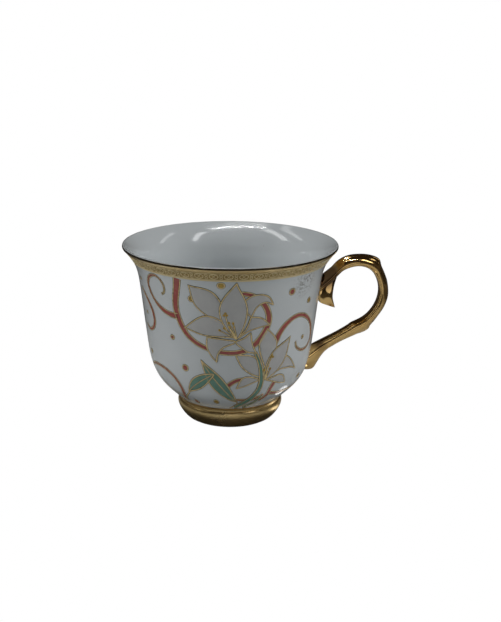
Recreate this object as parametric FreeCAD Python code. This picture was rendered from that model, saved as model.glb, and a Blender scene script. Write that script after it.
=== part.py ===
import FreeCAD, Part
import math
import os
from FreeCAD import Vector

# A porcelain teacup: a flared bowl on a stuck-on foot ring, with a cast loop handle joined by
# slip at two places, gold on the lip, handle and foot, and enamel transfers round the wall.
# Frame: millimetres, origin on the cup's axis at the table, +Z up, handle along +X.

# Bowl, outside. Low places are heights above the table, high ones are drops below the lip.
cup_height = 76.0
rim_radius = 45.0
lip_thickness = 1.4
lip_angle = 44.0
flare_radius = 41.6
flare_drop = 5.1
throat_radius = 39.35
throat_drop = 10.0
waist_radius = 38.15
waist_drop = 16.0
belly_radius = 36.35
belly_height = 44.5
hip_radius = 35.2
hip_height = 35.0
shoulder_radius = 33.5
shoulder_height = 25.4
turn_radius = 29.7
turn_height = 17.6
neck_radius = 22.8
neck_height = 10.5

# Bowl, inside
upper_wall = 1.9
lower_wall = 2.4
turn_wall = 3.0
floor_thickness = 3.3
floor_radius = 16.5
floor_dish = 1.1

# Foot ring, stuck to the flat under the bowl; the joint shows as a groove
foot_radius = 22.4
joint_height = 8.4
groove_depth = 0.7
ledge_hollow = 0.22
foot_bulge_drop = 1.1
foot_knee_inset = 1.5
foot_knee_height = 3.0
foot_heel_inset = 3.2
foot_heel_height = 1.0
foot_taper = 4.9
contact_width = 1.0
foot_wall = 6.5
inner_heel = 0.8

# Handle: its finger side is a small arc and a wide arc between two straight arms, all tangent,
# and its thickness is measured outwards from that side
loop_stand_off = 16.9
loop_lift = 14.0
hole_radius = 10.3
upper_arm_angle = 40.0
loop_turn_angle = -15.0
sweep_hole_radius = 20.3
lower_arm_angle = 27.0
arm_overrun = 2.5
grip_thickness = 4.3
grip_width = 6.6
thumb_thickness = 5.2
thumb_width = 7.4
crest_thickness = 6.3
crest_angle = 54.0
knuckle_thickness = 5.9
arm_thickness = 4.8
upper_root_thickness = 7.2
upper_root_width = 8.6
lower_root_thickness = 9.8
lower_root_width = 8.4
spur_length = 11.4
spur_thickness = 5.4
spur_width = 6.4
spur_tip = 1.3

# Slip joints between the handle and the bowl
joint_gap = 0.6
joint_bead = 0.45

# Gold and enamel, fired onto the glaze
gilding_thickness = 0.08
band_thickness = 0.18
enamel_thickness = 0.15
lip_line_width = 2.2
band_width = 4.0
foot_gilding_height = 0.9
handle_clear_angle = 16.0
opposite_gap_angle = 2.0

axis_reach = 200.0


def rad_z(radius, height):
    """A point of a profile: radius from the cup's axis, height above the table."""
    return Vector(radius, 0, height)


def spline(points, start=None, end=None):
    """A smooth profile curve through the points, with its end directions."""
    curve = Part.BSplineCurve()
    if start is None:
        curve.interpolate(points)
    else:
        curve.interpolate(Points=points, InitialTangent=start, FinalTangent=end)
    return curve


def revolve(edges):
    """The solid swept by a closed profile about the cup's axis."""
    face = Part.Face(Part.Wire(Part.__sortEdges__(edges)))
    solid = face.revolve(Vector(0, 0, 0), Vector(0, 0, 1), 360)
    return Part.Solid(solid.Shells[0]) if solid.ShapeType != "Solid" else solid


def line(a, b):
    return Part.LineSegment(a, b).toShape()


def outward(curve, parameter):
    """The unit normal of an upward-running profile curve, pointing away from the axis."""
    along = curve.tangent(parameter)[0]
    return Vector(along.z, 0, -along.x)


def lifted(curve, distance, samples=60):
    """The curve moved outwards by a distance, keeping its ends square to it."""
    first, last = curve.FirstParameter, curve.LastParameter
    points = []
    for i in range(samples + 1):
        u = first + (last - first) * i / samples
        points.append(curve.value(u) + outward(curve, u) * distance)
    return spline(points, curve.tangent(first)[0], curve.tangent(last)[0])


# Profile of the bowl ------------------------------------------------------------------------

lip_half = lip_thickness / 2
lip_along = Vector(math.cos(math.radians(lip_angle)), 0, math.sin(math.radians(lip_angle)))
lip_out = Vector(lip_along.z, 0, -lip_along.x)
lip_centre = rad_z(rim_radius - lip_half, cup_height - lip_half)
lip_outside = lip_centre + lip_out * lip_half
lip_inside = lip_centre - lip_out * lip_half
lip_crown = lip_centre + lip_along * lip_half

outside_stations = [
    rad_z(neck_radius, neck_height),
    rad_z(turn_radius, turn_height),
    rad_z(shoulder_radius, shoulder_height),
    rad_z(hip_radius, hip_height),
    rad_z(belly_radius, belly_height),
    rad_z(waist_radius, cup_height - waist_drop),
    rad_z(throat_radius, cup_height - throat_drop),
    rad_z(flare_radius, cup_height - flare_drop),
    lip_outside,
]
neck_along = (outside_stations[1] - outside_stations[0]).normalize()
outside = spline(outside_stations, neck_along, lip_along)


def wall_radius(height):
    """Outside radius of the bowl at a height between its neck and its lip."""
    low, high = outside.FirstParameter, outside.LastParameter
    for _ in range(50):
        middle = (low + high) / 2
        if outside.value(middle).z < height:
            low = middle
        else:
            high = middle
    return outside.value(low).x


def under_glaze(station, wall):
    """The point of the inside face across the wall from a station of the outside."""
    return station - outward(outside, outside.parameter(station)) * wall


floor_height = joint_height + floor_thickness
inside = spline(
    [
        lip_inside,
        *[under_glaze(outside_stations[i], upper_wall) for i in (7, 6, 5, 4, 3)],
        under_glaze(outside_stations[2], lower_wall),
        under_glaze(outside_stations[1], turn_wall),
        rad_z(floor_radius, floor_height + floor_dish),
        rad_z(0, floor_height),
    ],
    lip_along * -1,
    Vector(-1, 0, 0),
)

seat_radius = foot_radius - groove_depth
seat_edge = rad_z(seat_radius, joint_height)
ledge_middle = (seat_edge + outside_stations[0]) * 0.5 + Vector(-ledge_hollow, 0, ledge_hollow)
ledge = Part.Arc(seat_edge, ledge_middle, outside_stations[0])


def make_bowl():
    """The jiggered bowl, with the flat under it that the foot ring is stuck to."""
    crown = Part.Arc(lip_outside, lip_crown, lip_inside)
    return revolve([
        outside.toShape(),
        crown.toShape(),
        inside.toShape(),
        line(rad_z(0, floor_height), rad_z(0, joint_height)),
        line(rad_z(0, joint_height), seat_edge),
        ledge.toShape(),
    ])


def envelope(growth):
    """The space inside the bowl's outside face, grown outwards all round its wall."""
    if growth:
        side = lifted(outside, growth)
    else:
        side = outside
    low = side.value(side.FirstParameter)
    high = side.value(side.LastParameter)
    return revolve([
        side.toShape(),
        line(high, rad_z(0, high.z)),
        line(rad_z(0, high.z), rad_z(0, low.z)),
        line(rad_z(0, low.z), low),
    ])


# Foot ring ----------------------------------------------------------------------------------

foot_bore = foot_radius - foot_wall
contact_outer = foot_radius - foot_taper
contact_inner = contact_outer - contact_width
foot_side = spline(
    [
        rad_z(contact_outer, 0),
        rad_z(foot_radius - foot_heel_inset, foot_heel_height),
        rad_z(foot_radius - foot_knee_inset, foot_knee_height),
        rad_z(foot_radius, joint_height - foot_bulge_drop),
        seat_edge,
    ],
    Vector(1, 0, 0.35),
    Vector(-1, 0, 0.45),
)


def make_foot_ring():
    """The turned ring that the cup stands on."""
    bore_foot = rad_z(foot_bore, inner_heel)
    heel_point = rad_z(contact_inner, 0)
    return revolve([
        foot_side.toShape(),
        line(seat_edge, rad_z(foot_bore, joint_height)),
        line(rad_z(foot_bore, joint_height), bore_foot),
        line(bore_foot, heel_point),
        line(heel_point, rad_z(contact_outer, 0)),
    ])


# Handle -------------------------------------------------------------------------------------

band_foot = cup_height - lip_line_width - band_width
wall_middle = (neck_height + band_foot) / 2
loop_height = wall_middle + loop_lift
loop_centre = rad_z(wall_radius(loop_height) + loop_stand_off, loop_height)


def polar(centre, radius, degrees):
    a = math.radians(degrees)
    return centre + Vector(radius * math.cos(a), 0, radius * math.sin(a))


def heading(degrees):
    """Direction of travel down the handle where its outward side faces the given angle."""
    a = math.radians(degrees)
    return Vector(math.sin(a), 0, -math.cos(a))


def to_wall(start, direction):
    """Where a straight arm from start meets the wall, by halving the distance."""
    near, far = 0.0, start.x
    for _ in range(50):
        middle = (near + far) / 2
        point = start + direction * middle
        height = min(max(point.z, neck_height), cup_height - lip_thickness)
        if point.x > wall_radius(height):
            near = middle
        else:
            far = middle
    return start + direction * near


upper_facing = 90.0 + upper_arm_angle
lower_facing = lower_arm_angle - 90.0
loop_start = polar(loop_centre, hole_radius, upper_facing)
loop_end = polar(loop_centre, hole_radius, loop_turn_angle)
sweep_centre = polar(loop_end, sweep_hole_radius, loop_turn_angle + 180.0)
sweep_end = polar(sweep_centre, sweep_hole_radius, lower_facing)
upper_root = to_wall(loop_start, heading(upper_facing) * -1)
lower_root = to_wall(sweep_end, heading(lower_facing))


def ring(centre, facing, thickness, width, growth):
    """An oval section of the handle: thickness faces the given angle, width is across it."""
    across = Vector(0, width / 2 + growth, 0)
    up = polar(Vector(0, 0, 0), thickness / 2 + growth, facing)
    points = []
    for i in range(12):
        a = 2 * math.pi * i / 12
        points.append(centre + up * math.cos(a) + across * math.sin(a))
    curve = Part.BSplineCurve()
    curve.interpolate(Points=points, PeriodicFlag=True)
    return Part.Wire([curve.toShape()])


def make_loop(growth):
    """The handle's loop from inside the wall at its upper root to inside it at its lower root."""
    sections = []

    def add(finger_side, facing, thickness, width):
        centre = polar(finger_side, thickness / 2, facing)
        sections.append(ring(centre, facing, thickness, width, growth))

    upper_end = upper_root - heading(upper_facing) * arm_overrun
    add(upper_end, upper_facing, upper_root_thickness, upper_root_width)
    add(upper_root, upper_facing, upper_root_thickness, upper_root_width)
    add((upper_root + loop_start) * 0.5, upper_facing, thumb_thickness * 1.08, thumb_width * 1.05)
    for facing in (upper_facing, 105.0, 82.0):
        add(polar(loop_centre, hole_radius, facing), facing, thumb_thickness, thumb_width)
    add(polar(loop_centre, hole_radius, crest_angle), crest_angle, crest_thickness, grip_width)
    for facing in (crest_angle - 14.0, 18.0, loop_turn_angle):
        add(polar(loop_centre, hole_radius, facing), facing, grip_thickness, grip_width)
    for share, thickness in ((0.35, grip_thickness), (0.8, knuckle_thickness), (1.0, arm_thickness)):
        facing = loop_turn_angle + (lower_facing - loop_turn_angle) * share
        add(polar(sweep_centre, sweep_hole_radius, facing), facing, thickness, grip_width)
    arm = lower_root - sweep_end
    add(sweep_end + arm * 0.5, lower_facing, arm_thickness, grip_width)
    add(sweep_end + arm * 0.8, lower_facing, arm_thickness * 1.3, grip_width * 1.06)
    add(lower_root, lower_facing, lower_root_thickness, lower_root_width)
    lower_end = lower_root + heading(lower_facing) * arm_overrun
    add(lower_end, lower_facing, lower_root_thickness, lower_root_width)
    return Part.makeLoft(sections, True, False)


def make_spur():
    """The curled leaf that hangs below the upper root, against the finger side of the loop."""
    top = upper_root + (loop_start - upper_root) * 0.45
    sections = []
    for share, fullness, out in ((0.0, 1.0, 0.0), (0.35, 0.98, -0.3), (0.7, 0.7, 0.2), (1.0, 0.0, 1.3)):
        centre = top + Vector(out, 0, -spur_length * share)
        thickness = spur_tip + (spur_thickness - spur_tip) * fullness
        width = spur_tip + (spur_width - spur_tip) * fullness
        sections.append(ring(centre, 0.0, thickness, width, 0.0))
    return Part.makeLoft(sections, True, False)


def make_handle():
    """The cast handle, ending one joint gap clear of the bowl."""
    whole = make_loop(0.0).fuse(make_spur())
    return whole.cut(envelope(joint_gap)).removeSplitter()


def make_joints():
    """The two beads of slip that fill the gap between the handle's ends and the bowl."""
    gap = envelope(joint_gap).cut(envelope(0.0))
    beads = gap.common(make_loop(joint_bead))
    middle = (upper_root.z + lower_root.z) / 2
    upper = [s for s in beads.Solids if s.CenterOfMass.z > middle]
    lower = [s for s in beads.Solids if s.CenterOfMass.z < middle]
    return max(upper, key=lambda s: s.Volume), max(lower, key=lambda s: s.Volume)


# Gold and enamel ----------------------------------------------------------------------------

def wall_skin(thickness):
    """A skin over the whole outside of the bowl, from its neck to the top of its lip."""
    outer = lifted(outside, thickness)
    outer_low = outer.value(outer.FirstParameter)
    outer_lip = lip_centre + lip_out * (lip_half + thickness)
    outer_crown = lip_centre + lip_along * (lip_half + thickness)
    turned = (lip_out + lip_along).normalize()
    crown = Part.Arc(lip_outside, lip_centre + turned * lip_half, lip_crown)
    outer_arc = Part.Arc(outer_lip, lip_centre + turned * (lip_half + thickness), outer_crown)
    return revolve([
        outside.toShape(),
        crown.toShape(),
        line(lip_crown, outer_crown),
        outer_arc.toShape(),
        outer.toShape(),
        line(outer_low, outside_stations[0]),
    ])


def slab(low, high):
    """Everything between two heights."""
    return Part.makeCylinder(axis_reach, high - low, rad_z(0, low))


def make_lip_gilding():
    return wall_skin(gilding_thickness).common(slab(cup_height - lip_line_width, axis_reach))


def make_rim_band():
    return wall_skin(band_thickness).common(slab(band_foot, cup_height - lip_line_width))


def make_transfer(start_angle, end_angle):
    """One side's enamel transfer, a thin sheet from the band down to the neck of the bowl."""
    sweep = end_angle - start_angle
    wedge = Part.makeCylinder(axis_reach, band_foot - neck_height, rad_z(0, neck_height),
                              Vector(0, 0, 1), sweep)
    wedge.rotate(Vector(0, 0, 0), Vector(0, 0, 1), start_angle)
    return wall_skin(enamel_thickness).common(wedge)


def make_foot_gilding():
    """The gold over the ledge and the side of the foot ring, clear of the table."""
    outer_side = lifted(foot_side, gilding_thickness)
    side_foot = foot_side.value(foot_side.FirstParameter)
    outer_foot = outer_side.value(outer_side.FirstParameter)
    outer_seat = outer_side.value(outer_side.LastParameter)
    ring_skin = revolve([
        foot_side.toShape(),
        line(side_foot, outer_foot),
        outer_side.toShape(),
        line(outer_seat, seat_edge),
    ])
    ledge_out = Vector(gilding_thickness, 0, 0)
    outer_ledge = Part.Arc(seat_edge + ledge_out, ledge_middle + ledge_out,
                           outside_stations[0] + ledge_out)
    ledge_skin = revolve([
        ledge.toShape(),
        line(outside_stations[0], outside_stations[0] + ledge_out),
        outer_ledge.toShape(),
        line(seat_edge + ledge_out, seat_edge),
    ])
    ring_part = ring_skin.common(slab(foot_gilding_height, joint_height))
    return ring_part.fuse(ledge_skin)


# Every piece --------------------------------------------------------------------------------

upper_joint, lower_joint = make_joints()
pieces = {
    "bowl": make_bowl(),
    "foot_ring": make_foot_ring(),
    "handle": make_handle(),
    "upper_handle_joint": upper_joint,
    "lower_handle_joint": lower_joint,
    "lip_gilding": make_lip_gilding(),
    "rim_band": make_rim_band(),
    "foot_gilding": make_foot_gilding(),
    "front_transfer": make_transfer(180 + opposite_gap_angle, 360 - handle_clear_angle),
    "back_transfer": make_transfer(handle_clear_angle, 180 - opposite_gap_angle),
}

os.makedirs("parts", exist_ok=True)
for name, shape in pieces.items():
    box = shape.BoundBox
    shape.exportStep("parts/" + name + ".step")
    print(name, shape.ShapeType, len(shape.Solids), "valid", shape.isValid(),
          "volume", round(shape.Volume, 2),
          "x", round(box.XMin, 2), round(box.XMax, 2), "z", round(box.ZMin, 2), round(box.ZMax, 2))
print("upper root", upper_root, "lower root", lower_root)
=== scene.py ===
import math

import bpy
import numpy as np
from mathutils import Matrix, Vector
from mathutils.geometry import delaunay_2d_cdt


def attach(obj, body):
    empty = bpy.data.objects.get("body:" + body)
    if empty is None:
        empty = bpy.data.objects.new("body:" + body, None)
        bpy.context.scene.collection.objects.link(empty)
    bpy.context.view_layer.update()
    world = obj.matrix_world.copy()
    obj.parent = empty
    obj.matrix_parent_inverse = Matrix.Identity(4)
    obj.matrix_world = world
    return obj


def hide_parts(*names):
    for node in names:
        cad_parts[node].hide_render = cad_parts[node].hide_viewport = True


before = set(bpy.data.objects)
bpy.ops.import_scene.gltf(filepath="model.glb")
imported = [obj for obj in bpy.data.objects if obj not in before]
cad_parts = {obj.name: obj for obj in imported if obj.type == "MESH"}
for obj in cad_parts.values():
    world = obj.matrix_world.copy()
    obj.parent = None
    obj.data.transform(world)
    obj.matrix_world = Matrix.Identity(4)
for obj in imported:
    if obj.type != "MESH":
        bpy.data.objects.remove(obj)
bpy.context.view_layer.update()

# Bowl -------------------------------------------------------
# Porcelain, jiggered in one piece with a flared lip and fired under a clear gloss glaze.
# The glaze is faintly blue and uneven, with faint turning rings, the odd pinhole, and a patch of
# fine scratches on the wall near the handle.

MM = 0.001
PAPER_RADIUS = 36.0
TURN = 2 * math.pi * PAPER_RADIUS

lip_half = 0.7
lip_angle = math.radians(44.0)
lip_centre = np.array([44.3, 75.3])
lip_along = np.array([math.cos(lip_angle), math.sin(lip_angle)])
lip_across = lip_half * np.array([lip_along[1], -lip_along[0]])
lip_outside = lip_centre + lip_across
wall_stations = np.array([
    (22.8, 10.5), (29.7, 17.6), (33.5, 25.4), (35.2, 35.0), (36.35, 44.5),
    (38.15, 60.0), (39.35, 66.0), (41.6, 70.9), tuple(lip_outside),
])


def clamped_spline(stations, start, end, count):
    """Points of the smooth curve through the stations, leaving and arriving in the given directions."""
    chord = np.linalg.norm(np.diff(stations, axis=0), axis=1)
    u = np.concatenate([[0.0], np.cumsum(chord)])
    n = len(stations)
    rows = np.zeros((n, n))
    right = np.zeros((n, 2))
    rows[0, 0] = rows[-1, -1] = 1.0
    right[0], right[-1] = start, end
    for i in range(1, n - 1):
        before, after = chord[i - 1], chord[i]
        rows[i, i - 1:i + 2] = after, 2 * (before + after), before
        right[i] = 3 * (after * (stations[i] - stations[i - 1]) / before
                        + before * (stations[i + 1] - stations[i]) / after)
    slopes = np.linalg.solve(rows, right)
    points = []
    for t in np.linspace(0, u[-1], count):
        i = min(int(np.searchsorted(u, t, side="right")) - 1, n - 2)
        h = chord[i]
        v = (t - u[i]) / h
        points.append((2 * v**3 - 3 * v**2 + 1) * stations[i] + (v**3 - 2 * v**2 + v) * h * slopes[i]
                      + (3 * v**2 - 2 * v**3) * stations[i + 1] + (v**3 - v**2) * h * slopes[i + 1])
    return np.array(points)


neck_along = wall_stations[1] - wall_stations[0]
neck_along = neck_along / np.linalg.norm(neck_along)
wall_line = clamped_spline(wall_stations, neck_along, lip_along, 1200)
wall_slope = np.gradient(wall_line, axis=0)
wall_slope = wall_slope / np.linalg.norm(wall_slope, axis=1)[:, None]


def wall_point(along, height, lift=0.0):
    """A point on the outside of the bowl. Along is millimetres of unrolled wall, rightwards from -Y."""
    radius = np.interp(height, wall_line[:, 1], wall_line[:, 0])
    rise = np.interp(height, wall_line[:, 1], wall_slope[:, 1])
    lean = np.interp(height, wall_line[:, 1], wall_slope[:, 0])
    radius += lift * rise
    turn = along / PAPER_RADIUS
    return (radius * math.sin(turn) * MM, -radius * math.cos(turn) * MM, (height - lift * lean) * MM)


COLOUR = "NodeSocketColor"
NUMBER = "NodeSocketFloat"


def new_group(name, inputs, outputs):
    """An empty shader node group with named sockets, and its two ends."""
    group = bpy.data.node_groups.new(name, "ShaderNodeTree")
    for label, kind, value in inputs:
        socket = group.interface.new_socket(name=label, in_out="INPUT", socket_type=kind)
        socket.default_value = value
    for label, kind in outputs:
        group.interface.new_socket(name=label, in_out="OUTPUT", socket_type=kind)
    return group, group.nodes.new("NodeGroupInput"), group.nodes.new("NodeGroupOutput")


def feed(tree, value, socket):
    """Give a socket another node's output, a number, or a colour as its red, green and blue."""
    if isinstance(value, bpy.types.NodeSocket):
        tree.links.new(value, socket)
    elif socket.type == "RGBA":
        socket.default_value = (*value, 1.0)
    else:
        socket.default_value = value


def own_place(tree):
    """Where a point of the surface is, in the cup's own frame."""
    return tree.nodes.new("ShaderNodeTexCoord").outputs["Object"]


def noise(tree, vector, scale, detail=3.0, roughness=0.5):
    node = tree.nodes.new("ShaderNodeTexNoise")
    for label, value in (("Vector", vector), ("Scale", scale), ("Detail", detail), ("Roughness", roughness)):
        feed(tree, value, node.inputs[label])
    return node.outputs["Fac"]


def ranged(tree, value, low, high, to_low=0.0, to_high=1.0):
    """A value mapped from one range to another, held at its ends."""
    node = tree.nodes.new("ShaderNodeMapRange")
    for label, end in (("Value", value), ("From Min", low), ("From Max", high), ("To Min", to_low),
                       ("To Max", to_high)):
        feed(tree, end, node.inputs[label])
    return node.outputs["Result"]


def maths(tree, operation, first, second):
    node = tree.nodes.new("ShaderNodeMath")
    node.operation = operation
    feed(tree, first, node.inputs[0])
    feed(tree, second, node.inputs[1])
    return node.outputs["Value"]


def mixed(tree, factor, first, second):
    """The first colour, giving way to the second as the factor rises."""
    node = tree.nodes.new("ShaderNodeMix")
    node.data_type = "RGBA"
    ends = [socket for socket in node.inputs if socket.type == "RGBA"]
    feed(tree, factor, node.inputs["Factor"])
    feed(tree, first, ends[0])
    feed(tree, second, ends[1])
    return next(socket for socket in node.outputs if socket.type == "RGBA")


def away_from(tree, spot):
    """How far a point of the surface is from a spot."""
    node = tree.nodes.new("ShaderNodeVectorMath")
    node.operation = "DISTANCE"
    tree.links.new(own_place(tree), node.inputs[0])
    node.inputs[1].default_value = spot
    return node.outputs["Value"]


def height_of(tree):
    """How high a point of the surface is above the table."""
    node = tree.nodes.new("ShaderNodeSeparateXYZ")
    tree.links.new(own_place(tree), node.inputs["Vector"])
    return node.outputs["Z"]


def fired_surface_group():
    """Uneven colour, gloss and level that every fired glaze, enamel and gold film has."""
    tree, ends_in, ends_out = new_group(
        "fired_surface",
        [("Colour", COLOUR, (0.8, 0.8, 0.8, 1.0)),
         ("Deep Colour", COLOUR, (0.7, 0.7, 0.7, 1.0)),
         ("Speck Colour", COLOUR, (0.3, 0.3, 0.3, 1.0)),
         ("Cloud Scale", NUMBER, 60.0),
         ("Grain Scale", NUMBER, 2500.0),
         ("Grain", NUMBER, 0.2),
         ("Specks", NUMBER, 0.1),
         ("Smooth", NUMBER, 0.1),
         ("Dull", NUMBER, 0.2)],
        [("Colour", COLOUR), ("Roughness", NUMBER), ("Height", NUMBER)])
    given = ends_in.outputs
    place = own_place(tree)
    cloud = noise(tree, place, given["Cloud Scale"], 4.0)
    grain = noise(tree, place, given["Grain Scale"], 2.0)
    speck_cells = tree.nodes.new("ShaderNodeTexVoronoi")
    speck_cells.inputs["Scale"].default_value = 420.0
    tree.links.new(place, speck_cells.inputs["Vector"])
    speck = ranged(tree, speck_cells.outputs["Distance"], 0.05, 0.09, 1.0, 0.0)
    rare = ranged(tree, noise(tree, place, 160.0, 1.0), 0.55, 0.62)
    speck = maths(tree, "MULTIPLY", maths(tree, "MULTIPLY", speck, rare), given["Specks"])
    cloudy = ranged(tree, cloud, 0.35, 0.65)
    grainy = maths(tree, "MULTIPLY", ranged(tree, grain, 0.35, 0.65), given["Grain"])
    depth = maths(tree, "ADD", maths(tree, "MULTIPLY", cloudy, 0.6), grainy)
    colour = mixed(tree, depth, given["Colour"], given["Deep Colour"])
    colour = mixed(tree, speck, colour, given["Speck Colour"])
    tree.links.new(colour, ends_out.inputs["Colour"])
    gloss = ranged(tree, cloud, 0.3, 0.7, given["Smooth"], given["Dull"])
    tree.links.new(gloss, ends_out.inputs["Roughness"])
    level = maths(tree, "ADD", maths(tree, "MULTIPLY", cloud, 0.6), maths(tree, "MULTIPLY", grain, 0.4))
    tree.links.new(level, ends_out.inputs["Height"])
    return tree


fired_surface = fired_surface_group()


def fired_material(name, colour, deep, speck, cloud_scale=60.0, grain_scale=2500.0, grain=0.2, specks=0.1,
                   smooth=0.1, dull=0.2, metallic=0.0, coat=0.0, coat_roughness=0.03,
                   level=0.1, level_depth=0.0001):
    """A material with the fired surface on it, its node tree and its shader."""
    material = bpy.data.materials.new(name)
    material.use_nodes = True
    tree = material.node_tree
    shader = tree.nodes["Principled BSDF"]
    shader.inputs["Metallic"].default_value = metallic
    shader.inputs["Coat Weight"].default_value = coat
    shader.inputs["Coat Roughness"].default_value = coat_roughness
    surface = tree.nodes.new("ShaderNodeGroup")
    surface.node_tree = fired_surface
    for label, value in (("Colour", colour), ("Deep Colour", deep), ("Speck Colour", speck),
                         ("Cloud Scale", cloud_scale), ("Grain Scale", grain_scale), ("Grain", grain),
                         ("Specks", specks), ("Smooth", smooth), ("Dull", dull)):
        feed(tree, value, surface.inputs[label])
    bump = tree.nodes.new("ShaderNodeBump")
    bump.inputs["Strength"].default_value = level
    bump.inputs["Distance"].default_value = level_depth
    tree.links.new(surface.outputs["Height"], bump.inputs["Height"])
    tree.links.new(bump.outputs["Normal"], shader.inputs["Normal"])
    tree.links.new(surface.outputs["Colour"], shader.inputs["Base Color"])
    tree.links.new(surface.outputs["Roughness"], shader.inputs["Roughness"])
    return material, tree, shader


def wired(shader, label):
    """What a shader's socket is given so far."""
    return shader.inputs[label].links[0].from_socket


def repaint(tree, shader, mask, colour):
    """Lay a plain colour over the base colour where the mask is."""
    tree.links.new(mixed(tree, mask, wired(shader, "Base Color"), colour), shader.inputs["Base Color"])


drawn_out = (0.02, 0.02, 1.0)


def turned_rings(tree, shader, scale, strength, depth):
    """Fine rings left by turning: noise drawn out round the cup's axis, over the bump already there."""
    stretch = tree.nodes.new("ShaderNodeMapping")
    stretch.inputs["Scale"].default_value = drawn_out
    tree.links.new(own_place(tree), stretch.inputs["Vector"])
    second = tree.nodes.new("ShaderNodeBump")
    second.inputs["Strength"].default_value = strength
    second.inputs["Distance"].default_value = depth
    tree.links.new(noise(tree, stretch.outputs["Vector"], scale, 2.0), second.inputs["Height"])
    tree.links.new(wired(shader, "Normal"), second.inputs["Normal"])
    tree.links.new(second.outputs["Normal"], shader.inputs["Normal"])


def marks_round(tree, spot, reach, scale, low, high):
    """A mask of small marks that crowd round one spot and thin out to its reach."""
    near = ranged(tree, away_from(tree, spot), reach * 0.3, reach, 1.0, 0.0)
    marks = ranged(tree, noise(tree, own_place(tree), scale, 4.0, 0.7), low, high)
    return maths(tree, "MULTIPLY", near, marks)


def dress(obj, material):
    obj.data.materials.clear()
    obj.data.materials.append(material)


scratched_spot = wall_point(26.5, 66.5)
scratched_reach = 0.0085

porcelain, porcelain_tree, porcelain_shader = fired_material(
    "porcelain_glaze", (0.775, 0.805, 0.815), (0.715, 0.75, 0.76), (0.35, 0.33, 0.30),
    cloud_scale=35.0, grain_scale=1800.0, grain=0.12, specks=0.5, smooth=0.10, dull=0.16,
    coat=0.6, level=0.08, level_depth=0.0002)
turned_rings(porcelain_tree, porcelain_shader, 420.0, 0.12, 0.0003)
scratches = marks_round(porcelain_tree, scratched_spot, scratched_reach, 1300.0, 0.50, 0.60)
repaint(porcelain_tree, porcelain_shader, scratches, (0.24, 0.23, 0.21))

upper_wall = 1.9
lower_wall = 2.4
turn_wall = 3.0
floor_height = 11.7
seat_height = 8.4
seat_radius = 21.7
bowl_turns = 288
flat_under = (0.0, 12.0, 20.0)
inside_corner = (16.5, 12.8)
ledge = ((seat_radius, seat_height), (21.76, 9.05), (22.03, 9.67), (22.4, 10.15))
crown_steps = 12


def under_glaze(station, wall):
    """The point of the inside face across the wall from a station of the outside."""
    rise = np.interp(station[1], wall_line[:, 1], wall_slope[:, 1])
    lean = np.interp(station[1], wall_line[:, 1], wall_slope[:, 0])
    return station - np.array([rise, -lean]) * wall


def put(name, data):
    """A mesh, lamp or camera as an object in the scene."""
    obj = bpy.data.objects.new(name, data)
    bpy.context.scene.collection.objects.link(obj)
    return obj


def build(name, points, faces, material, slot):
    """A smooth mesh piece of the cup, riding on its one body."""
    mesh = bpy.data.meshes.new(name)
    mesh.from_pydata([tuple(p) for p in points], [], faces)
    mesh.validate()
    mesh.update()
    mesh.shade_smooth()
    obj = put(name, mesh)
    mesh.materials.append(material)
    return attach(obj, "root")


def lathe(line, turns):
    """Points and faces of a closed solid turned from a line that starts and ends on the axis."""
    points = [(0.0, 0.0, line[0][1] * MM), (0.0, 0.0, line[-1][1] * MM)]
    ring = line[1:-1]
    size = len(ring)
    for i in range(turns):
        a = 2 * math.pi * i / turns
        points += [(r * math.cos(a) * MM, r * math.sin(a) * MM, z * MM) for r, z in ring]
    faces = []
    for i in range(turns):
        here, there = 2 + i * size, 2 + ((i + 1) % turns) * size
        faces.append((0, there, here))
        faces.append((1, here + size - 1, there + size - 1))
        for k in range(size - 1):
            faces.append((here + k, there + k, there + k + 1, here + k + 1))
    return points, faces


inside_stations = [lip_centre - lip_across]
inside_stations += [under_glaze(wall_stations[i], upper_wall) for i in (7, 6, 5, 4, 3)]
inside_stations += [under_glaze(wall_stations[2], lower_wall), under_glaze(wall_stations[1], turn_wall)]
inside_stations += [np.array(inside_corner), np.array([0.0, floor_height])]
inside_line = clamped_spline(np.array(inside_stations), -lip_along, np.array([-1.0, 0.0]), 220)
crown = []
for k in range(1, crown_steps):
    a = lip_angle - math.pi / 2 + math.pi * k / crown_steps
    crown.append(lip_centre + lip_half * np.array([math.cos(a), math.sin(a)]))
bowl_line = [(radius, seat_height) for radius in flat_under] + list(ledge)
bowl_line += [tuple(p) for p in wall_line[::5]] + [tuple(p) for p in crown] + [tuple(p) for p in inside_line]
bowl = build("bowl_glazed", *lathe(bowl_line, bowl_turns), porcelain, "porcelain")
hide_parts("bowl")

# Foot ring --------------------------------------------------
# A turned porcelain ring, stuck under the bowl with slip. Its contact edge is wiped free of
# glaze before firing, so the bare body shows there, warmer and rougher than the glaze.

bare_height = 0.0009
wiped_unevenly = 0.0004
glaze_edge = 0.0003
bare_roughness = 0.75

foot_body, foot_tree, foot_shader = fired_material(
    "foot_body", (0.78, 0.80, 0.80), (0.70, 0.73, 0.73), (0.40, 0.35, 0.28),
    cloud_scale=70.0, grain=0.15, specks=0.6, smooth=0.16, dull=0.24, coat=0.4)
ragged = maths(foot_tree, "MULTIPLY", noise(foot_tree, own_place(foot_tree), 500.0), wiped_unevenly)
edge_height = maths(foot_tree, "ADD", height_of(foot_tree), ragged)
glazed = ranged(foot_tree, edge_height, bare_height, bare_height + glaze_edge)
foot_colour = mixed(foot_tree, glazed, (0.62, 0.57, 0.50), wired(foot_shader, "Base Color"))
foot_tree.links.new(foot_colour, foot_shader.inputs["Base Color"])
foot_rough = ranged(foot_tree, glazed, 0.0, 1.0, bare_roughness, wired(foot_shader, "Roughness"))
foot_tree.links.new(foot_rough, foot_shader.inputs["Roughness"])
dress(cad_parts["foot_ring"], foot_body)

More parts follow.
